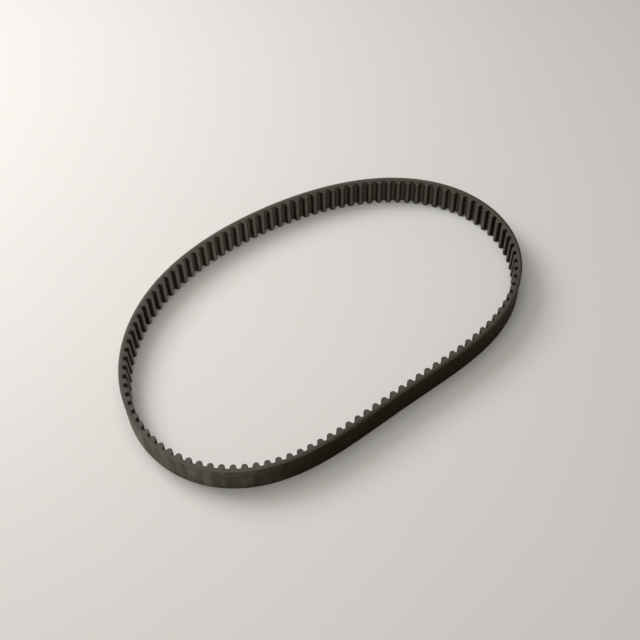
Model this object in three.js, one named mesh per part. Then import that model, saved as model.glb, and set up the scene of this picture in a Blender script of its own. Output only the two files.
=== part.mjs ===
// A toothed timing belt, standing loose on one edge in the free shape of an oval loop.
// It is built up as a real belt is, from the back to the teeth: rubber backing, tensile
// cords, rubber teeth, woven facing. The loop flexes at twelve of its lands, the thin
// places between two teeth, so each layer comes in thirteen stretches.
// Millimetres, +Z up along the belt's width, X along the loop's long way, the origin
// midway along and across the loop on the edge that it stands on.
import * as THREE from 'three';

// The belt
const PITCH = 5;             // from one tooth to the next, along the cords
const TEETH = 109;
const WIDTH = 15;

// A tooth: a round tip on short flanks that widen to the land
const TOOTH_HEIGHT = 2.06;   // above the land
const TIP_RADIUS = 1.49;
const ROOT_HALF = 1.79;      // half its width where it meets the land
const FLANK_SLOPE = 0.6;     // how much narrower an inner layer's root is, per mm of depth
const ARC_STEPS = 4;         // straight pieces that make the round tip

// The layers, measured from the pitch line, which is the middle of the cords
const LAND_RISE = 0.57;      // pitch line to the land, on the toothed side
const BACK_DROP = 1.17;      // pitch line to the smooth back
const CORD_HALF = 0.25;      // half the thickness of the ply of cords
const FACING = 0.22;         // thickness of the woven facing
const BOND = 0.02;           // between two layers

// Where the loop flexes: every ninth land, and the two ends meet in the middle of a stretch
const TEETH_TO_FIRST_HINGE = 5;
const TEETH_PER_STRETCH = 9;
const HINGES = 12;
const BEND_CLEARANCE = THREE.MathUtils.degToRad(13);   // each side of a hinge
const END_GAP = 0.15;        // each side of a hinge or of the seam, at the pitch line

// The free shape. The heading of the belt goes round evenly, as on a circle, and sways
// ahead and behind by these waves: waves in a lap, height, phase.
const START_HEADING = 128.8;
const SWAYS = [
  [1, 1.2, -59],
  [2, 20.0, 77],
  [3, 5.3, -172],
  [4, 1.4, -16],
];

// Finishes
const rubber = { color: 0x35322b, roughness: 0.62, metalness: 0 };
const toothRubber = { color: 0x2f2d28, roughness: 0.66, metalness: 0 };
const fabric = { color: 0x3c3b37, roughness: 0.82, metalness: 0 };
const glassCord = { color: 0x8d8368, roughness: 0.55, metalness: 0 };

// ---- The pitch line: one straight side per tooth, with a corner in each land ----

function headingOf(tooth) {
  const lap = (360 * (tooth + 0.5)) / TEETH;
  let heading = START_HEADING + lap;
  for (const [waves, height, phase] of SWAYS) {
    heading += height * Math.sin(THREE.MathUtils.degToRad(waves * lap + phase));
  }
  return THREE.MathUtils.degToRad(heading);
}

function makeSides() {
  const sides = [];
  for (let tooth = 0; tooth < TEETH; tooth++) {
    const heading = headingOf(tooth);
    sides.push(new THREE.Vector2(Math.cos(heading), Math.sin(heading)).multiplyScalar(PITCH));
  }
  return sides;
}

// Walks round the loop side by side. What is left open at the end is spread over all sides.
function makeCorners() {
  const sides = makeSides();
  const left = new THREE.Vector2();
  sides.forEach((side) => left.add(side));
  left.divideScalar(TEETH);
  const corners = [new THREE.Vector2()];
  for (const side of sides.slice(0, -1)) {
    corners.push(corners.at(-1).clone().add(side).sub(left));
  }
  const middle = new THREE.Box2().setFromPoints(corners).getCenter(new THREE.Vector2());
  return corners.map((corner) => corner.sub(middle));
}

const corners = makeCorners();

function cornerAt(index) {
  return corners[(index + TEETH) % TEETH];
}

// One side of the pitch line: its start, its direction, and the normal towards the teeth.
function sideAt(tooth) {
  const start = cornerAt(tooth);
  const along = cornerAt(tooth + 1).clone().sub(start).normalize();
  const inward = new THREE.Vector2(-along.y, along.x);
  return { start, along, inward };
}

// A point of a side: x along it from its start, rise towards the teeth.
function pointOn(side, x, rise) {
  return side.start.clone().addScaledVector(side.along, x).addScaledVector(side.inward, rise);
}

// Half of the angle that the belt turns through at a corner, positive towards the teeth.
function halfTurn(corner) {
  const before = sideAt(corner - 1).along;
  const after = sideAt(corner).along;
  return Math.asin(before.cross(after)) / 2;
}

// ---- The outlines of the layers, seen along the width ----

// How far from a stretch's end corner the layer ends, at some rise: clear of its neighbour
// when the hinge bends either way.
function endInset(corner, rise) {
  const mitre = rise * Math.tan(halfTurn(corner));
  return END_GAP + Math.abs(rise) * Math.tan(BEND_CLEARANCE) + mitre;
}

function firstPoint(stretch, rise) {
  return pointOn(sideAt(stretch.first), endInset(stretch.first, rise), rise);
}

function lastPoint(stretch, rise) {
  const end = stretch.first + stretch.teeth;
  return pointOn(sideAt(end - 1), PITCH - endInset(end, rise), rise);
}

// A smooth face of a layer: one point in each land, on the mitre.
function smoothFace(stretch, rise) {
  const points = [firstPoint(stretch, rise)];
  for (let step = 1; step < stretch.teeth; step++) {
    const corner = stretch.first + step;
    points.push(pointOn(sideAt(corner), rise * Math.tan(halfTurn(corner)), rise));
  }
  points.push(lastPoint(stretch, rise));
  return points;
}

// One tooth, some depth below the belt's surface: root, round tip, root.
function toothPoints(depth) {
  const rootHalf = ROOT_HALF - FLANK_SLOPE * depth;
  const radius = TIP_RADIUS - depth;
  const points = [[-rootHalf, -depth]];
  for (let step = 0; step <= ARC_STEPS; step++) {
    const angle = (Math.PI * step) / ARC_STEPS;
    const height = TOOTH_HEIGHT - TIP_RADIUS + radius * Math.sin(angle);
    points.push([-radius * Math.cos(angle), height]);
  }
  points.push([rootHalf, -depth]);
  return points;
}

// A toothed face of a layer, some depth below the belt's surface.
function toothedFace(stretch, depth) {
  const land = LAND_RISE - depth;
  const points = [firstPoint(stretch, land)];
  for (let step = 0; step < stretch.teeth; step++) {
    const side = sideAt(stretch.first + step);
    for (const [x, height] of toothPoints(depth)) {
      points.push(pointOn(side, PITCH / 2 + x, LAND_RISE + height));
    }
  }
  points.push(lastPoint(stretch, land));
  return points;
}

// ---- The pieces ----

function layer(name, finish, face, otherFace) {
  const outline = new THREE.Shape([...face, ...otherFace.reverse()]);
  const geometry = new THREE.ExtrudeGeometry(outline, { depth: WIDTH, bevelEnabled: false });
  const mesh = new THREE.Mesh(geometry, new THREE.MeshStandardMaterial(finish));
  mesh.name = name;
  return mesh;
}

function backing(stretch) {
  const cordSide = smoothFace(stretch, -CORD_HALF - BOND);
  const back = smoothFace(stretch, -BACK_DROP);
  return layer(`backing_${stretch.label}`, rubber, cordSide, back);
}

// The glass-fibre cords lie side by side across the width and are bonded into one ply.
function cordPly(stretch) {
  const toothSide = smoothFace(stretch, CORD_HALF);
  const backSide = smoothFace(stretch, -CORD_HALF);
  return layer(`cord_ply_${stretch.label}`, glassCord, toothSide, backSide);
}

function toothStrip(stretch) {
  const teeth = toothedFace(stretch, FACING + BOND);
  const cordSide = smoothFace(stretch, CORD_HALF + BOND);
  return layer(`tooth_strip_${stretch.label}`, toothRubber, teeth, cordSide);
}

function facing(stretch) {
  const outside = toothedFace(stretch, 0);
  const inside = toothedFace(stretch, FACING);
  return layer(`facing_${stretch.label}`, fabric, outside, inside);
}

// The stretches between the hinges; the first and the last end at the seam.
function makeStretches() {
  const ends = [0];
  for (let hinge = 0; hinge < HINGES; hinge++) {
    ends.push(TEETH_TO_FIRST_HINGE + TEETH_PER_STRETCH * hinge);
  }
  ends.push(TEETH);
  return ends.slice(1).map((end, index) => ({
    label: String(index + 1).padStart(2, '0'),
    first: ends[index],
    teeth: end - ends[index],
  }));
}

const group = new THREE.Group();
for (const stretch of makeStretches()) {
  const part = new THREE.Group();
  part.add(backing(stretch), cordPly(stretch), toothStrip(stretch), facing(stretch));
  group.add(part);
}

export default group;
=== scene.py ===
# The looks of the timing belt, built round the imported model.
#
# The belt is one endless moulding of four layers: smooth rubber backing, a ply of glass
# cords, rubber teeth and a woven nylon facing. Each layer is made here in twelve windows,
# one for each hinge of the frame, and each window reaches across its hinge.
# Lengths are in millimetres until a mesh, a light or the camera is made, in metres.
import math

import bmesh
import bpy
import numpy as np
from mathutils import Matrix, Vector, noise


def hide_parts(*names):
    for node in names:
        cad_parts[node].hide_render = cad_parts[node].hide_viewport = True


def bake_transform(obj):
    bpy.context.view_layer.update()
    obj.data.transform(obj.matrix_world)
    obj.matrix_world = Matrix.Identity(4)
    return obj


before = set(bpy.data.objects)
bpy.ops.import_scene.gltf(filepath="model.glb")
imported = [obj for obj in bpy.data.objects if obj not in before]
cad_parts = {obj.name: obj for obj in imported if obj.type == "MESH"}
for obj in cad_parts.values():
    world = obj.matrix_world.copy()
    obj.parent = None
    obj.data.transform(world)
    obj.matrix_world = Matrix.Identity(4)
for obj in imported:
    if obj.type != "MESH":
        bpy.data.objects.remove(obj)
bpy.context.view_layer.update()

MM = 0.001

# ---- The belt's dimensions, the same as in the CAD model ----

PITCH = 5.0
TEETH = 109
WIDTH = 15.0
TOOTH_HEIGHT = 2.06        # above the land
TIP_RADIUS = 1.49
ROOT_FILLET = 0.43
LAND_RISE = 0.57           # pitch line to the land, on the toothed side
BACK_DROP = 1.17           # pitch line to the smooth back
CORD_HALF = 0.25
FACING = 0.22
BOND = 0.02

START_HEADING = 128.8
SWAYS = (                  # waves in a lap, height and phase in degrees
    (1, 1.2, -59.0),
    (2, 20.0, 77.0),
    (3, 5.3, -172.0),
    (4, 1.4, -16.0),
)

# The hinges: one every ninth land, and a window from just after one to just after the next
FIRST_HINGE = 5
HINGE_STEP = 9
HINGES = 12
WINDOW_BEFORE = 4          # corners that a window holds before its hinge
SEAM_GAP = 0.012           # each side of the seam, so that its faces stay clear

# ---- How fine the meshes are, and how uneven ----

WALK_STEPS = 24            # steps of the walk round the loop, per pitch
LAND_STEPS = 2
FILLET_STEPS = 5
TIP_STEPS = 16
BACK_STEPS = 8             # steps of the smooth back, per pitch
EDGE_ROUND = 0.07          # the cut corners are this round
EDGE_WAVER = 0.035         # how far the cut edges wander from their planes
EDGE_WAVES = ((23.0, 0.7), (2.6, 0.3))     # the size and the share of each of their waves
EDGE_SEED = 40.0           # where in the noise they are taken from
BACK_WAVER = 0.012         # how far the back wanders, tooth by tooth

CORD_PITCH = 0.625         # from one glass cord to the next, across the width
CORD_SIDES = 6             # steps of one cord's section
WEB_HALF = 0.1             # half the thickness of the bond between two cords
CORD_STEPS = 3             # steps of the cords, per pitch
BACK_SHELVES = 10          # steps of the back across the width
FACING_SHELVES = 8
BACK_CUT_STEPS = 3         # steps of each layer's cut faces, from its toothed side to its back
CORD_CUT_STEPS = 2
TOOTH_CUT_STEPS = 5
FACING_CUT_STEPS = 1
THREADS_PER_TOOTH = 26     # of the facing, along the belt
THREAD_SPACING = 0.27      # of the facing, across the belt
SHARP_ANGLE = 50.0         # degrees: edges that are sharper than this look sharp
WELD = 0.0001              # points closer than this are one point

# ---- Colours, in linear light ----

BACK_OLIVE = (0.0172, 0.0116, 0.0016, 1.0)
BACK_BROWN = (0.0202, 0.0112, 0.0020, 1.0)
BACK_RED = (0.027, 0.0112, 0.0040, 1.0)
# The next colour is a dusting in the back's marks and scratches, and also painted light: the
# bright end of the loop and a painted sheen towards the back's top edge.
BACK_DUST_AND_SHEEN = (0.248, 0.236, 0.194, 1.0)
# The next colour makes the back's cut edges paler.
BACK_EDGE_PALE = (0.150, 0.140, 0.115, 1.0)
BACK_SPECULAR = 0.04
CUT_LOW = (0.054, 0.0515, 0.0435, 1.0)
CUT_HIGH = (0.088, 0.084, 0.073, 1.0)
# The next colour is painted light on the cut edges at the bright end of the loop.
CUT_LIT_END = (0.116, 0.111, 0.096, 1.0)
# The next colour is painted shade in the torn pits of the cut edges.
CUT_PIT_SHADE = (0.026, 0.024, 0.019, 1.0)
# The next four colours are painted light and shade, which the cut edges take on the near and far
# sides of the loop.
CUT_NEAR = (0.017, 0.0125, 0.0025, 1.0)     # the backing's cut edge along the near side
CUT_NEAR_TEETH = (0.088, 0.083, 0.070, 1.0)
CUT_FAR = (0.0985, 0.0940, 0.0825, 1.0)
CUT_FAR_TEETH = (0.047, 0.043, 0.034, 1.0)
CORD_END = (0.190, 0.172, 0.128, 1.0)
CORD_GLUE = (0.040, 0.034, 0.024, 1.0)
FABRIC_LOW = (0.012, 0.0105, 0.008, 1.0)
FABRIC_HIGH = (0.034, 0.031, 0.025, 1.0)
FIBRE_END = (0.130, 0.122, 0.102, 1.0)
TOOTH_LOW = (0.012, 0.011, 0.009, 1.0)
TOOTH_HIGH = (0.030, 0.028, 0.023, 1.0)
# The next colour is painted shade on the flanks of the teeth.
FACING_FLANK_SHADE = (0.0085, 0.0072, 0.0044, 1.0)
FACING_LAND = (0.155, 0.138, 0.097, 1.0)
FACING_WARM = (0.055, 0.036, 0.020, 1.0)
# The next colour is painted light in the gaps between the teeth at the bright end of the loop.
FACING_LIT_END = (0.265, 0.250, 0.208, 1.0)
# The next two colours are the painted highlight on the tips of the teeth, dimmer and paler along
# the loop; the paler one also makes the cut edges paler.
FACING_TIP_DIM = (0.148, 0.136, 0.110, 1.0)
FACING_PALE = (0.290, 0.271, 0.225, 1.0)
FACING_SPECULAR = 0.15
FACING_SHEEN = 0.07
FACING_SHEEN_TINT = (0.75, 0.72, 0.62, 1.0)
CORD_DARK = (0.070, 0.050, 0.025, 1.0)
CORD_PALE = (0.300, 0.270, 0.190, 1.0)
FLOOR_LOW = (0.72, 0.72, 0.70, 1.0)
FLOOR_HIGH = (0.78, 0.78, 0.765, 1.0)

# ---- Where the looks change, in millimetres ----

LIT_END_WAY = (-0.866, 0.5, 0.0)             # towards the end of the loop that painted light brightens
LIT_END_FROM, LIT_END_TO = -8.0, 64.0            # along that way, from no painted light to the full amount
LIT_END_RAGGED = 30.0                         # how ragged that border is
NEAR_SIDE, FAR_SIDE = -15.0, 30.0          # Y, from the near side to the far side, where the cut edges' painted light and shade change
DARK_END, PALE_END = 112.0, -15.0          # X, from a dimmer to a paler painted highlight on the tips of the teeth
PALE_RAGGED = 60.0                         # how ragged that change is
SHEEN_FROM = 8.0                            # Z, above which a painted sheen grows on the back towards its top edge
BACK_EDGE_PALE_REACH = 0.6                      # from the cut edges
FACING_EDGE_PALE_REACH = 0.5

# ---- Shares, from 0 to 1 ----

LIT_END_FILM = 0.56                           # of the painted light on the back's bright end
BACK_CUT_LIT_ENDS = (0.85, 0.95)              # of the painted light on the backing's cut edge at the bright end, near and far
TOOTH_CUT_LIT_ENDS = (0.7, 0.2)
EDGE_PALE_SHARE = 0.6                           # of the pale colour, at the cut edges
EDGE_PALE_THROUGH = 0.2                         # of the reach, where an edge is fully pale

# ---- Threads and strands ----

TWILL_REPEAT = 4.0                         # threads until the weave repeats, half of them over
CORD_TWIST = 2.4                           # strands across one cord
SLIT_TWIST = (1.1, 1.6)                    # strands per mm of a slit cord, along and across it

# ---- The studio: the camera in millimetres and degrees, the lamps in metres and watts ----

CAMERA_AZIMUTH = -33.99
CAMERA_ELEVATION = 53.94
CAMERA_ROLL = 2.09
CAMERA_DISTANCE = 496.4
CAMERA_TARGET = (-0.03, -0.92, 0.0)
CAMERA_LENS = 57.7
SENSOR = 36.0

FLOOR_SIZE = 4.0
LAMPS = (                  # name, azimuth, elevation, distance, size, power, colour
    ("key", 205.0, 46.0, 0.60, 0.32, 2.2, (1.0, 0.99, 0.97)),
    ("overhead", 250.0, 84.0, 1.0, 0.9, 4.6, (1.0, 0.97, 0.91)),
)
SKY = (1.0, 0.96, 0.89, 1.0)
SKY_STRENGTH = 0.16
FLOOR_CLOUDS, FLOOR_GRAIN = 3.0, 900.0     # bumps per metre


# ---- The pitch line ----

def heading(u):
    """The belt's heading at u pitches from the seam, in radians."""
    lap = 360.0 * np.asarray(u, float) / TEETH
    turn = START_HEADING + lap
    for waves, height, phase in SWAYS:
        turn = turn + height * np.sin(np.radians(waves * lap + phase))
    return np.radians(turn)


def walk_round():
    """The pitch line's points, and u at each: what is left open is spread over all steps."""
    middles = (np.arange(TEETH * WALK_STEPS) + 0.5) / WALK_STEPS
    turn = heading(middles)
    steps = np.stack([np.cos(turn), np.sin(turn)], -1) * PITCH / WALK_STEPS
    steps -= steps.mean(0)
    points = np.vstack([[0.0, 0.0], np.cumsum(steps, 0)])
    corners = points[:-1:WALK_STEPS]
    points -= (corners.min(0) + corners.max(0)) / 2
    return np.arange(len(points)) / WALK_STEPS, points


WALK_U, WALK = walk_round()


def plan(u, rise):
    """Points in the plan at u, a rise from the pitch line towards the teeth."""
    turn = heading(u)
    x = np.interp(u, WALK_U, WALK[:, 0]) - rise * np.sin(turn)
    y = np.interp(u, WALK_U, WALK[:, 1]) + rise * np.cos(turn)
    return np.stack([x, y], -1)


# ---- Outlines of the layers, seen along the width, as (u, rise) ----

def arc(centre, radius, start, end, steps):
    angles = np.radians(np.linspace(start, end, steps + 1))
    return np.stack([centre[0] + radius * np.cos(angles), centre[1] + radius * np.sin(angles)], -1)


def tooth_outline(depth):
    """One tooth from land to land, some depth below the belt's surface: (x, rise)."""
    tip = (0.0, TOOTH_HEIGHT - TIP_RADIUS)
    across = math.sqrt((TIP_RADIUS + ROOT_FILLET) ** 2 - (tip[1] - ROOT_FILLET) ** 2)
    lean = math.degrees(math.asin((tip[1] - ROOT_FILLET) / (TIP_RADIUS + ROOT_FILLET)))
    fillet = ROOT_FILLET + depth
    left = arc((-across, ROOT_FILLET), fillet, -90, lean, FILLET_STEPS)
    crown = arc(tip, TIP_RADIUS - depth, 180 + lean, -lean, TIP_STEPS)
    right = arc((across, ROOT_FILLET), fillet, 180 - lean, 270, FILLET_STEPS)
    start = np.linspace([-PITCH / 2, -depth], left[0], LAND_STEPS + 1)[:-1]
    end = np.linspace(right[-1], [PITCH / 2, -depth], LAND_STEPS + 1)[1:]
    return np.vstack([start, left, crown[1:-1], right, end]) + [0, LAND_RISE]


def toothed(first, last, depth):
    """A toothed face from corner first to corner last."""
    tooth = tooth_outline(depth)
    rows = [tooth[:1] / [PITCH, 1] + [first + 0.5, 0]]
    for corner in range(first, last):
        rows.append(tooth[1:] / [PITCH, 1] + [corner + 0.5, 0])
    return np.vstack(rows)


def level(first, last, rise, steps):
    """A smooth face from corner first to corner last."""
    u = np.linspace(first, last, (last - first) * steps + 1)
    return np.stack([u, np.full_like(u, rise)], -1)


def under(outline, rise):
    """A smooth face with as many points as a toothed one, spaced evenly under it."""
    u = np.linspace(outline[0, 0], outline[-1, 0], len(outline))
    return np.stack([u, np.full_like(u, rise)], -1)


def run_along(outline):
    """The length along an outline, in millimetres, from its start."""
    steps = np.diff(outline * [PITCH, 1], axis=0)
    return np.concatenate([[0.0], np.cumsum(np.linalg.norm(steps, axis=1))])


def outward(outline):
    """Unit normals of an outline, to the left of its direction, in (along, rise)."""
    slope = np.gradient(outline * [PITCH, 1], axis=0)
    slope /= np.linalg.norm(slope, axis=1)[:, None]
    return np.stack([-slope[:, 1], slope[:, 0]], -1)


# ---- Small unevenness, the same wherever two pieces meet ----

def waver(x, y, z, scale, height):
    """A smooth random height at a point; scale is the size of its bumps."""
    return height * noise.noise(Vector((x, y, z)) / scale)


def edge_waver(x, y):
    """How far both cut edges stand out of their planes at a place in the plan."""
    return sum(waver(x, y, EDGE_SEED, size, share * EDGE_WAVER) for size, share in EDGE_WAVES)


# ---- Meshes ----

class Piece:
    """Gathers the grids of one closed piece, with what its materials read from each point."""

    def __init__(self):
        self.points, self.faces, self.finishes = [], [], []
        self.uv, self.height = [], []

    def add_points(self, points, uv, height):
        start = len(self.points)
        shape = points.shape[:-1]
        self.points.extend(points.reshape(-1, 3))
        self.uv.extend(np.broadcast_to(uv, (*shape, 2)).reshape(-1, 2))
        self.height.extend(np.broadcast_to(height, shape).reshape(-1))
        return start

    def add_grid(self, points, uv, height, finish):
        """Rows of points with quads between them."""
        start = self.add_points(points, uv, height)
        rows, columns = points.shape[:2]
        for row in range(rows - 1):
            for column in range(columns - 1):
                a = start + row * columns + column
                self.faces.append((a, a + 1, a + columns + 1, a + columns))
                self.finishes.append(finish)

    def add_end(self, rim, finish):
        """One flat face over a rim of points."""
        start = self.add_points(rim, (0.0, 0.0), 0.0)
        self.faces.append(tuple(range(start, start + len(rim))))
        self.finishes.append(finish)

    def make(self, name, materials):
        mesh = bpy.data.meshes.new(name)
        mesh.from_pydata((np.array(self.points) * MM).tolist(), [], self.faces)
        for material in materials:
            mesh.materials.append(material)
        mesh.polygons.foreach_set("material_index", self.finishes)
        corners = np.zeros(len(mesh.loops), np.int32)
        mesh.loops.foreach_get("vertex_index", corners)
        laid = mesh.uv_layers.new(name="laid")
        laid.data.foreach_set("uv", np.array(self.uv, np.float32)[corners].ravel())
        height = mesh.attributes.new("height", "FLOAT", "POINT")
        height.data.foreach_set("value", np.array(self.height, np.float32))
        rest = mesh.attributes.new("rest", "FLOAT_VECTOR", "POINT")
        rest.data.foreach_set("vector", np.array(self.points, np.float32).ravel())
        weld(mesh)
        mesh.shade_smooth()
        mesh.set_sharp_from_angle(angle=math.radians(SHARP_ANGLE))
        piece = bpy.data.objects.new(name, mesh)
        bpy.context.scene.collection.objects.link(piece)
        return piece


def weld(mesh):
    """Joins the points that the grids of a piece share, so that it is one closed skin."""
    skin = bmesh.new()
    skin.from_mesh(mesh)
    bmesh.ops.remove_doubles(skin, verts=skin.verts, dist=WELD * MM)
    bmesh.ops.recalc_face_normals(skin, faces=skin.faces)
    skin.to_mesh(mesh)
    skin.free()


def rounded_shelves(count):
    """Heights across the width, and how far each is moved in: the corners of the cut edges
    are rounded, and there are even steps between them."""
    soft = EDGE_ROUND * (1 - math.sqrt(0.5))
    middle = np.linspace(EDGE_ROUND, WIDTH - EDGE_ROUND, count + 1)
    z = np.concatenate([[0.0, soft], middle, [WIDTH - soft, WIDTH]])
    inset = np.zeros_like(z)
    inset[[0, -1]] = EDGE_ROUND
    inset[[1, -2]] = soft
    return z, inset


def plain_shelves():
    """Heights of a face between two bonded layers, which is square to the cut edges."""
    return np.array([0.0, WIDTH]), np.zeros(2)


def corded_shelves():
    """Heights of a face of the cord ply: each cord is a round, and the cut edges slice one."""
    cords = round(WIDTH / CORD_PITCH)
    z = np.linspace(0, WIDTH, cords * CORD_SIDES + 1)
    off_axis = np.abs(z / CORD_PITCH - np.round(z / CORD_PITCH)) * CORD_PITCH
    half = np.sqrt(np.clip(CORD_HALF ** 2 - off_axis ** 2, WEB_HALF ** 2, None))
    return z, CORD_HALF - half


def row_of(outline, inset, z):
    """The points of an outline, moved in by inset, at height z across the width."""
    moved = outline - outward(outline) * inset / [PITCH, 1]
    flat = plan(moved[:, 0], moved[:, 1])
    heights = [cut_height(x, y, z) for x, y in flat]
    return np.column_stack([flat, heights])


def cut_height(x, y, z):
    """z, moved with the uneven cut edge where it is at one, but never below the floor."""
    if z <= EDGE_ROUND:
        return max(0.0, z - edge_waver(x, y))
    if z >= WIDTH - EDGE_ROUND:
        return z + edge_waver(x, y)
    return z


def between(first, last, steps):
    """Even rows from the first to the last."""
    share = np.linspace(0, 1, steps + 1)[:, None, None]
    return first + (last - first) * share


def cut_face(near, far, steps, z):
    """The rows of a cut face, from the row at its toothed side to the row at its back."""
    rows = between(near, far, steps)
    for row in rows[1:-1]:
        row[:, 2] = [cut_height(x, y, z) for x, y in row[:, :2]]
    return rows


def layer(name, faces, shelves, uv_along, uv_spacing, cut_steps, materials):
    """A closed layer between its toothed side and its back. faces and shelves hold one of
    each. The materials are, in order, the toothed side's, the cut edges' and the back's."""
    piece = Piece()
    for outline in faces:
        outline[:, 0] = np.clip(outline[:, 0], SEAM_GAP / PITCH, TEETH - SEAM_GAP / PITCH)
    height = np.clip((faces[0][:, 1] - LAND_RISE) / TOOTH_HEIGHT, 0, 1)
    grids = []
    for side, (outline, (z, inset)) in enumerate(zip(faces, shelves)):
        sign = 1 - 2 * side
        rows = np.array([row_of(outline, sign * i, h) for h, i in zip(z, inset)])
        uv = np.stack(np.broadcast_arrays(uv_along, z[:, None] / uv_spacing), -1)
        piece.add_grid(rows, uv, height, 2 * side)
        grids.append(rows)
    cuts = [cut_face(grids[0][row], grids[1][row], cut_steps, z)
            for row, z in ((0, 0.0), (-1, WIDTH))]
    cut_uv = between(faces[0] * [PITCH, 1], faces[1] * [PITCH, 1], cut_steps)
    for rows in cuts:
        piece.add_grid(rows, cut_uv, height, 1)
    for end in (0, -1):
        bottom, top = cuts[0][1:-1, end], cuts[1][1:-1, end]
        rim = [grids[0][:, end], top, grids[1][::-1, end], bottom[::-1]]
        piece.add_end(np.concatenate(rim), 1)
    return piece.make(name, materials)


# ---- Writing materials ----

class Shader:
    """A material and short ways to add nodes to it. Inputs are sockets or plain values."""

    def __init__(self, name):
        self.material = bpy.data.materials.new(name)
        self.material.use_nodes = True
        self.tree = self.material.node_tree
        self.tree.nodes.clear()

    def add(self, kind, inputs=(), **settings):
        node = self.tree.nodes.new(kind)
        for key, value in settings.items():
            setattr(node, key, value)
        for key, value in dict(inputs).items():
            if isinstance(value, bpy.types.NodeSocket):
                self.tree.links.new(value, node.inputs[key])
            else:
                node.inputs[key].default_value = value
        return node

    def attribute(self, name, output="Fac"):
        return self.add("ShaderNodeAttribute", attribute_name=name).outputs[output]

    def rest(self):
        """Where the point was when the belt was at rest, in millimetres."""
        return self.attribute("rest", "Vector")

    def laid(self):
        """Where the point lies along its face and across it: in threads of the weave, in
        cords, or in millimetres."""
        return self.add("ShaderNodeUVMap", uv_map="laid").outputs["UV"]

    def parts(self, vector):
        """The X, Y and Z of a vector."""
        return self.add("ShaderNodeSeparateXYZ", {0: vector}).outputs

    def math(self, operation, *values):
        return self.add("ShaderNodeMath", enumerate(values), operation=operation).outputs[0]

    def plus(self, first, second):
        return self.math("ADD", first, second)

    def times(self, first, second):
        return self.math("MULTIPLY", first, second)

    def ridges(self, value):
        """Round ridges side by side: 0 where value is whole, 1 halfway between."""
        return self.math("ABSOLUTE", self.math("SINE", self.times(value, math.pi)))

    def ragged(self, distance, noise, depth):
        """A distance that noise shifts by up to half of depth, both ways."""
        return self.plus(distance, self.times(self.math("SUBTRACT", noise, 0.5), depth))

    def lit_end(self, rest, noise):
        """0 away from the bright end of the loop, 1 at it, with a ragged border: the mask of
        painted light.
        """
        inputs = {0: rest, 1: LIT_END_WAY}
        way = self.add("ShaderNodeVectorMath", inputs, operation="DOT_PRODUCT").outputs["Value"]
        return self.spread(self.ragged(way, noise, LIT_END_RAGGED), LIT_END_FROM, LIT_END_TO)

    def edge_paling(self, rest, noise, reach):
        """1 on the two cut edges, 0 from about a reach in millimetres away from them."""
        z = self.parts(rest)[2]
        gap = self.math("MINIMUM", z, self.math("SUBTRACT", WIDTH, z))
        return self.spread(self.ragged(gap, noise, reach), reach, EDGE_PALE_THROUGH * reach)

    def spread(self, value, low, high, out_low=0.0, out_high=1.0):
        """value from low to high, mapped smoothly onto out_low to out_high."""
        inputs = {"Value": value, 1: low, 2: high, 3: out_low, 4: out_high}
        node = self.add("ShaderNodeMapRange", inputs, interpolation_type="SMOOTHSTEP")
        return node.outputs["Result"]

    def stretched(self, vector, x, y, z):
        inputs = {0: vector, 1: (x, y, z)}
        return self.add("ShaderNodeVectorMath", inputs, operation="MULTIPLY").outputs[0]

    def noise(self, vector, scale, detail=2.0, roughness=0.5):
        """Noise from 0 to 1; scale is in bumps per unit of the vector."""
        inputs = {"Vector": vector, "Scale": scale, "Detail": detail, "Roughness": roughness}
        return self.add("ShaderNodeTexNoise", inputs).outputs["Fac"]

    def spots(self, vector, scale, randomness):
        """Distance from the nearest of many points; scale is in points per unit."""
        inputs = {"Vector": vector, "Scale": scale, "Randomness": randomness}
        return self.add("ShaderNodeTexVoronoi", inputs).outputs["Distance"]

    def mix(self, share, first, second, blend="MIX"):
        inputs = {"Factor": share, 6: first, 7: second}
        return self.add("ShaderNodeMix", inputs, data_type="RGBA", blend_type=blend).outputs[2]

    def bump(self, height, depth, under=None):
        """Raises the surface by height times depth, in millimetres."""
        inputs = {"Height": height, "Distance": depth * MM, "Strength": 1.0}
        if under is not None:
            inputs["Normal"] = under
        return self.add("ShaderNodeBump", inputs).outputs["Normal"]

    def finish(self, colour, roughness, normal, **settings):
        names = {"specular": "Specular IOR Level", "sheen": "Sheen Weight",
                 "sheen_roughness": "Sheen Roughness", "sheen_tint": "Sheen Tint"}
        inputs = {"Base Color": colour, "Roughness": roughness, "Normal": normal}
        inputs.update({names[key]: value for key, value in settings.items()})
        surface = self.add("ShaderNodeBsdfPrincipled", inputs)
        output = self.add("ShaderNodeOutputMaterial")
        self.tree.links.new(surface.outputs["BSDF"], output.inputs["Surface"])
        return self.material


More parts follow.
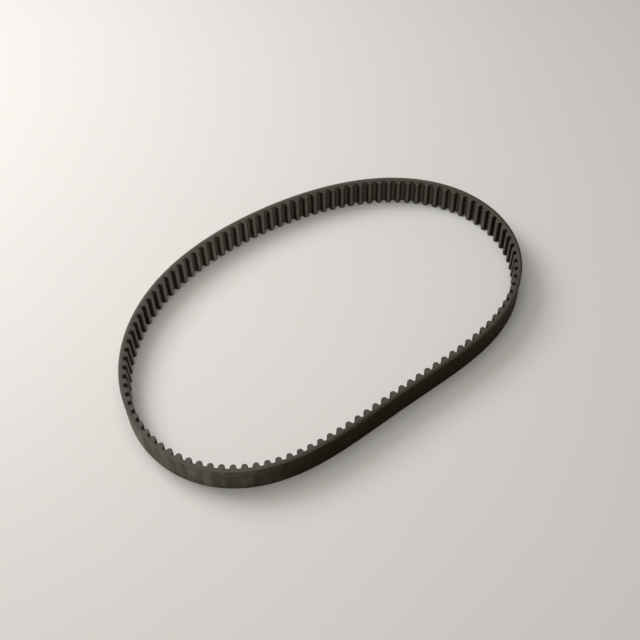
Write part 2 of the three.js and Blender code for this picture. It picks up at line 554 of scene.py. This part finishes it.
def backing_rubber():
    """Dark olive-brown rubber, moulded smooth: cloudy hue, soft marks across the belt where
    the teeth pulled at it as it cured, fine scratches along it, a dusting, and paler cut edges.
    Painted light brightens one end of the loop, and a painted sheen grows towards the back's top
    edge."""
    shader = Shader("backing_rubber")
    rest = shader.rest()
    laid = shader.laid()
    cloud = shader.noise(rest, 0.035, 2.0)
    colour = shader.mix(shader.spread(cloud, 0.35, 0.65), BACK_OLIVE, BACK_BROWN)
    red = shader.noise(shader.stretched(rest, 1.0, 1.0, 0.6), 0.09, 3.0)
    colour = shader.mix(shader.spread(red, 0.56, 0.74, 0.0, 0.5), colour, BACK_RED)
    marks = shader.noise(shader.stretched(laid, 1.0, 0.09, 1.0), 0.28, 3.0)
    fine_marks = shader.noise(shader.stretched(laid, 1.0, 0.07, 1.0), 1.9, 2.0)
    scratches = shader.noise(shader.stretched(laid, 0.03, 1.0, 1.0), 5.0, 3.0, 0.6)
    dust_and_lit_end = shader.noise(rest, 0.22, 6.0, 0.62)
    speck = shader.noise(rest, 2.6, 3.0, 0.7)
    # Painted light at the bright end of the loop: a pale layer patterned like a dusting, laid over
    # the back there.
    lit_end_film = LIT_END_FILM
    for pattern, low, high, thinner, thicker in (
            (marks, 0.3, 0.7, -0.16, 0.22),
            (fine_marks, 0.35, 0.7, -0.05, 0.07),
            (dust_and_lit_end, 0.3, 0.7, -0.11, 0.11),
            (speck, 0.35, 0.7, -0.09, 0.11),
            (scratches, 0.55, 0.75, 0.0, 0.08)):
        lit_end_film = shader.plus(lit_end_film, shader.spread(pattern, low, high, thinner, thicker))
    lit_end = shader.lit_end(rest, dust_and_lit_end)
    lit_end_film = shader.times(lit_end_film, shader.times(lit_end, lit_end))
    colour = shader.mix(lit_end_film, colour, BACK_DUST_AND_SHEEN)
    # A faint dusting in the marks and scratches, and a painted sheen that grows towards the back's
    # top edge.
    thin_dust_and_sheen = shader.spread(shader.plus(marks, speck), 0.8, 1.25, 0.0, 0.022)
    thin_dust_and_sheen = shader.plus(thin_dust_and_sheen, shader.spread(scratches, 0.5, 0.8, 0.0, 0.02))
    thin_dust_and_sheen = shader.plus(thin_dust_and_sheen, shader.spread(shader.parts(rest)[2], SHEEN_FROM, WIDTH, 0.0, 0.03))
    colour = shader.mix(thin_dust_and_sheen, colour, BACK_DUST_AND_SHEEN)
    # Paler along both cut edges.
    edge_pale = shader.edge_paling(rest, speck, BACK_EDGE_PALE_REACH)
    colour = shader.mix(shader.times(edge_pale, EDGE_PALE_SHARE), colour, BACK_EDGE_PALE)
    grain = shader.noise(rest, 6.5, 3.0, 0.7)
    roughness = shader.spread(shader.plus(grain, dust_and_lit_end), 0.6, 1.4, 0.46, 0.66)
    normal = shader.bump(marks, 0.05)
    normal = shader.bump(scratches, 0.006, normal)
    normal = shader.bump(grain, 0.010, normal)
    return shader.finish(colour, roughness, normal, specular=BACK_SPECULAR)


def blade_drag(shader):
    """The marks that a blade drags along a cut face, as noise from 0 to 1."""
    return shader.noise(shader.stretched(shader.laid(), 0.22, 1.0, 1.0), 7.0, 4.0, 0.65)


def cut_rubber(name, near, far, lit_ends):
    """Rubber where a blade cut the belt from its sleeve: matt and grey, with the marks of
    the blade and torn pits, the pits given painted shade. near and far are painted light and
    shade:
    the colours that it tends to on the two long sides of the loop. The last argument is the share
    of painted light at the loop's bright end, on the near and far sides."""
    shader = Shader(name)
    rest = shader.rest()
    cloud = shader.noise(rest, 0.30, 4.0, 0.6)
    drag = blade_drag(shader)
    level = shader.spread(shader.spots(rest, 1.7, 1.0), 0.10, 0.26)
    colour = shader.mix(shader.spread(cloud, 0.3, 0.7), CUT_LOW, CUT_HIGH)
    y = shader.parts(rest)[1]
    # Painted light and shade: the near colour on the near side of the loop, the far colour on the
    # far side.
    side = shader.mix(shader.spread(y, NEAR_SIDE, FAR_SIDE), near, far)
    colour = shader.mix(0.75, colour, side)
    # Painted light at the bright end of the loop.
    dust_and_lit_end = shader.times(shader.lit_end(rest, cloud), shader.spread(y, NEAR_SIDE, FAR_SIDE, *lit_ends))
    colour = shader.mix(dust_and_lit_end, colour, CUT_LIT_END)
    colour = shader.mix(shader.spread(drag, 0.35, 0.75, 0.0, 0.35), colour, CUT_HIGH)
    # Painted shade in the torn pits.
    pit_shade = shader.mix(0.5, colour, CUT_PIT_SHADE)
    colour = shader.mix(shader.times(level, 0.8), pit_shade, colour)
    grain = shader.noise(rest, 9.0, 3.0, 0.7)
    normal = shader.bump(drag, 0.05)
    normal = shader.bump(level, 0.04, normal)
    normal = shader.bump(grain, 0.015, normal)
    roughness = shader.spread(grain, 0.3, 0.7, 0.70, 0.9)
    return shader.finish(colour, roughness, normal, specular=0.25)


def cut_cord():
    """The cut through the ply of cords: here the blade slit a cord and its twisted strands
    show, there it ran through the adhesive between two cords."""
    shader = Shader("cut_cord")
    laid = shader.laid()
    along, rise = shader.parts(laid)[:2]
    drag = blade_drag(shader)
    colour = shader.mix(shader.spread(drag, 0.3, 0.7), CUT_LOW, CUT_HIGH)
    twist = shader.plus(shader.times(along, SLIT_TWIST[0]), shader.times(rise, SLIT_TWIST[1]))
    strand = shader.ridges(twist)
    fibre = shader.noise(shader.stretched(laid, 0.5, 1.0, 1.0), 11.0, 3.0, 0.7)
    cord = shader.mix(shader.times(strand, fibre), CORD_GLUE, CORD_END)
    slit = shader.noise(shader.stretched(laid, 1.0, 0.0, 0.0), 0.05, 2.0)
    colour = shader.mix(shader.spread(slit, 0.45, 0.6, 0.15, 0.8), colour, cord)
    normal = shader.bump(strand, 0.03)
    normal = shader.bump(drag, 0.04, normal)
    roughness = shader.spread(fibre, 0.3, 0.7, 0.6, 0.85)
    return shader.finish(colour, roughness, normal, specular=0.3)


def cut_fabric():
    """The cut edge of the facing: the pale ends of the nylon fibres in dark rubber."""
    shader = Shader("cut_facing")
    drag = blade_drag(shader)
    colour = shader.mix(shader.spread(drag, 0.3, 0.7), FABRIC_LOW, FABRIC_HIGH)
    end = shader.spread(shader.spots(shader.rest(), 7.0, 0.8), 0.5, 0.2)
    colour = shader.mix(shader.times(end, 0.45), colour, FIBRE_END)
    roughness = shader.spread(drag, 0.3, 0.7, 0.75, 0.9)
    return shader.finish(colour, roughness, shader.bump(end, 0.03), specular=0.25)


def tooth_rubber():
    """Black rubber under the facing, with the print of the weave."""
    shader = Shader("tooth_rubber")
    cloud = shader.noise(shader.rest(), 0.5, 4.0)
    colour = shader.mix(cloud, TOOTH_LOW, TOOTH_HIGH)
    normal = shader.bump(weave(shader)[0], 0.03)
    return shader.finish(colour, shader.spread(cloud, 0.3, 0.7, 0.55, 0.7), normal, specular=0.3)


def weave(shader):
    """A two-by-two twill: its height, and 1 where the threads along the belt are on top."""
    along, across = shader.parts(shader.laid())[:2]
    step = shader.plus(shader.math("FLOOR", along), shader.math("FLOOR", across))
    place = shader.math("FLOORED_MODULO", step, TWILL_REPEAT)
    over = shader.math("LESS_THAN", place, TWILL_REPEAT / 2 - 0.5)
    ridge_along = shader.times(shader.ridges(across), over)
    ridge_across = shader.times(shader.ridges(along), shader.math("SUBTRACT", 1.0, over))
    return shader.plus(ridge_along, ridge_across), over


def woven_facing():
    """Black nylon twill, brownish in the lands, with painted light and shade: a painted highlight
    on the tips, paler towards one end of the loop, painted shade on the flanks and in the valleys
    of the weave, painted light in the gaps at that end, lighter towards the floor, and paler cut
    edges."""
    shader = Shader("woven_facing")
    rest = shader.rest()
    x, _, z = shader.parts(rest)
    height, over = weave(shader)
    up = shader.attribute("height")
    patch = shader.noise(rest, 0.11, 4.0, 0.6)
    # Painted highlight on the tips of the teeth.
    tip_highlight = shader.spread(shader.plus(up, shader.times(patch, 0.16)), 0.86, 1.06)
    # Painted shade on the flanks; the lands keep their own brownish colour.
    land = shader.spread(up, 0.0, 0.07, 1.0, 0.0)
    dark = shader.mix(shader.times(land, 0.85), FACING_FLANK_SHADE, FACING_LAND)
    warm = shader.noise(rest, 0.045, 2.0)
    dark = shader.mix(shader.spread(warm, 0.5, 0.75, 0.0, 0.6), dark, FACING_WARM)
    # Painted light in the gaps at the bright end of the loop, most of it in the lands.
    lit_end_share = shader.plus(shader.times(land, 0.38), 0.08)
    dark = shader.mix(shader.times(shader.lit_end(rest, patch), lit_end_share), dark, FACING_LIT_END)
    # The tips' painted highlight is paler towards one end of the loop.
    drift = shader.plus(x, shader.times(patch, PALE_RAGGED))
    light = shader.mix(shader.spread(drift, DARK_END, PALE_END), FACING_TIP_DIM, FACING_PALE)
    colour = shader.mix(tip_highlight, dark, light)
    # Painted shade in the valleys between the threads of the weave.
    valley_shade = shader.spread(height, 0.1, 0.8, 0.5, 1.02)
    thread = shader.plus(shader.times(over, 0.16), 0.88)
    shade = shader.times(valley_shade, thread)
    fibres = shader.noise(shader.stretched(rest, 1.0, 1.0, 0.4), 7.0, 2.0, 0.7)
    shade = shader.times(shade, shader.spread(fibres, 0.2, 0.8, 0.8, 1.2))
    # Painted light from the floor: lighter towards the bottom edge, darker towards the top.
    shade = shader.times(shade, shader.spread(z, 0.0, WIDTH, 1.14, 0.92))
    grey = shader.add("ShaderNodeCombineColor", {0: shade, 1: shade, 2: shade}).outputs[0]
    colour = shader.mix(1.0, colour, grey, "MULTIPLY")
    # Paler along both cut edges.
    edge_pale = shader.edge_paling(rest, fibres, FACING_EDGE_PALE_REACH)
    colour = shader.mix(shader.times(edge_pale, EDGE_PALE_SHARE), colour, FACING_PALE)
    normal = shader.bump(height, 0.07)
    normal = shader.bump(fibres, 0.015, normal)
    roughness = shader.spread(height, 0.2, 1.0, 0.9, 0.68)
    return shader.finish(colour, roughness, normal, specular=FACING_SPECULAR, sheen=FACING_SHEEN,
                         sheen_roughness=0.45, sheen_tint=FACING_SHEEN_TINT)


def glass_cord():
    """Glass-fibre cords, twisted, dipped in a brown adhesive."""
    shader = Shader("glass_cord")
    laid = shader.laid()
    along, across = shader.parts(laid)[:2]
    strand = shader.ridges(shader.plus(along, shader.times(across, CORD_TWIST)))
    fibre = shader.noise(laid, 9.0, 4.0, 0.7)
    colour = shader.mix(shader.times(strand, fibre), CORD_DARK, CORD_PALE)
    normal = shader.bump(strand, 0.05)
    normal = shader.bump(fibre, 0.01, normal)
    roughness = shader.spread(fibre, 0.3, 0.7, 0.4, 0.6)
    return shader.finish(colour, roughness, normal, specular=0.4)


# ---- The belt ----

def windows():
    """First and last corner of each window, and the corner that its hinge is at."""
    for hinge in range(HINGES):
        corner = FIRST_HINGE + HINGE_STEP * hinge
        first = 0 if hinge == 0 else corner - WINDOW_BEFORE
        last = TEETH if hinge == HINGES - 1 else corner - WINDOW_BEFORE + HINGE_STEP
        yield hinge, first, last, corner


def rig(piece, kind, hinge):
    """Bakes a window's transform into its mesh, and hides the CAD solids that it covers."""
    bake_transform(piece)
    covered = [f"{kind}_{hinge + 1:02d}"]
    if hinge == HINGES - 1:
        covered.append(f"{kind}_{hinge + 2:02d}")
    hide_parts(*covered)


def backing(label, first, last, materials):
    back = level(first, last, -BACK_DROP, BACK_STEPS)
    back[:, 1] += BACK_WAVER * np.cos(2 * math.pi * back[:, 0])
    cord_side = level(first, last, -CORD_HALF - BOND, BACK_STEPS)
    shelves = plain_shelves(), rounded_shelves(BACK_SHELVES)
    along = back[:, 0] * PITCH
    return layer(f"backing_rubber_{label}", (cord_side, back), shelves, along, 1.0,
                 BACK_CUT_STEPS, materials)


def cord_ply(label, first, last, materials):
    tooth_side = level(first, last, CORD_HALF, CORD_STEPS)
    back_side = level(first, last, -CORD_HALF, CORD_STEPS)
    shelves = corded_shelves(), corded_shelves()
    along = tooth_side[:, 0] * PITCH
    return layer(f"glass_cords_{label}", (tooth_side, back_side), shelves, along, CORD_PITCH,
                 CORD_CUT_STEPS, materials)


def tooth_strip(label, first, last, materials):
    face = toothed(first, last, FACING + BOND)
    base = under(face, CORD_HALF + BOND)
    shelves = plain_shelves(), plain_shelves()
    along = thread_count(face, first, last)
    return layer(f"tooth_rubber_{label}", (face, base), shelves, along, THREAD_SPACING,
                 TOOTH_CUT_STEPS, materials)


def facing(label, first, last, materials):
    outside = toothed(first, last, 0.0)
    inside = toothed(first, last, FACING)
    shelves = rounded_shelves(FACING_SHELVES), plain_shelves()
    along = thread_count(outside, first, last)
    return layer(f"woven_facing_{label}", (outside, inside), shelves, along, THREAD_SPACING,
                 FACING_CUT_STEPS, materials)


def thread_count(outline, first, last):
    """How many threads lie before each point of a toothed face, from the seam."""
    run = run_along(outline)
    return THREADS_PER_TOOTH * (first + (last - first) * run / run[-1])


def make_belt():
    back, tooth, fabric, cord = backing_rubber(), tooth_rubber(), woven_facing(), glass_cord()
    cut_back = cut_rubber("cut_backing", CUT_NEAR, CUT_FAR, BACK_CUT_LIT_ENDS)
    cut_tooth = cut_rubber("cut_teeth", CUT_NEAR_TEETH, CUT_FAR_TEETH, TOOTH_CUT_LIT_ENDS)
    slit_cord, slit_fabric = cut_cord(), cut_fabric()
    for hinge, first, last, corner in windows():
        label = f"{hinge + 1:02d}"
        piece = backing(label, first, last, (back, cut_back, back))
        rig(piece, "backing", hinge)
        piece = cord_ply(label, first, last, (cord, slit_cord, cord))
        rig(piece, "cord_ply", hinge)
        piece = tooth_strip(label, first, last, (tooth, cut_tooth, tooth))
        rig(piece, "tooth_strip", hinge)
        piece = facing(label, first, last, (fabric, slit_fabric, fabric))
        rig(piece, "facing", hinge)


# ---- The studio ----

def axes(azimuth, elevation):
    """The direction back from a point towards an eye there, and the eye's right and up."""
    a, e = math.radians(azimuth), math.radians(elevation)
    back = Vector((math.sin(a) * math.cos(e), -math.cos(a) * math.cos(e), math.sin(e)))
    right = Vector((math.cos(a), math.sin(a), 0.0))
    return back, right, back.cross(right)


def make_camera():
    back, right, up = axes(CAMERA_AZIMUTH, CAMERA_ELEVATION)
    roll = math.radians(CAMERA_ROLL)
    x = right * math.cos(roll) - up * math.sin(roll)
    y = right * math.sin(roll) + up * math.cos(roll)
    data = bpy.data.cameras.new("camera")
    data.sensor_width = SENSOR
    data.lens = CAMERA_LENS
    data.clip_start, data.clip_end = 0.01, 20.0
    camera = bpy.data.objects.new("camera", data)
    turn = Matrix((x, y, back)).transposed().to_4x4()
    place = (Vector(CAMERA_TARGET) + back * CAMERA_DISTANCE) * MM
    camera.matrix_world = Matrix.Translation(place) @ turn
    bpy.context.scene.collection.objects.link(camera)
    bpy.context.scene.camera = camera


def soft_light(name, azimuth, elevation, distance, size, power, colour):
    """A square panel of light that faces the belt from a direction, in metres and watts."""
    back, right, up = axes(azimuth, elevation)
    data = bpy.data.lights.new(name, "AREA")
    data.shape = "SQUARE"
    data.size = size
    data.energy = power
    data.color = colour
    light = bpy.data.objects.new(name, data)
    turn = Matrix((right, up, back)).transposed().to_4x4()
    light.matrix_world = Matrix.Translation(back * distance) @ turn
    bpy.context.scene.collection.objects.link(light)


def make_floor():
    """A pale board under the belt."""
    half = FLOOR_SIZE / 2
    mesh = bpy.data.meshes.new("floor")
    corners = [(-half, -half, 0), (half, -half, 0), (half, half, 0), (-half, half, 0)]
    mesh.from_pydata(corners, [], [(0, 1, 2, 3)])
    shader = Shader("pale_board")
    place = shader.add("ShaderNodeTexCoord").outputs["Object"]
    cloud = shader.noise(place, FLOOR_CLOUDS, 3.0)
    grain = shader.noise(place, FLOOR_GRAIN, 2.0)
    colour = shader.mix(cloud, FLOOR_LOW, FLOOR_HIGH)
    mesh.materials.append(shader.finish(colour, 0.75, shader.bump(grain, 0.02), specular=0.2))
    floor = bpy.data.objects.new("floor", mesh)
    bpy.context.scene.collection.objects.link(floor)


def make_studio():
    make_floor()
    for lamp in LAMPS:
        soft_light(*lamp)
    world = bpy.data.worlds.new("studio")
    world.use_nodes = True
    sky = world.node_tree.nodes["Background"]
    sky.inputs["Color"].default_value = SKY
    sky.inputs["Strength"].default_value = SKY_STRENGTH
    bpy.context.scene.world = world
    bpy.context.scene.view_settings.view_transform = "Standard"


make_camera()
make_studio()
make_belt()
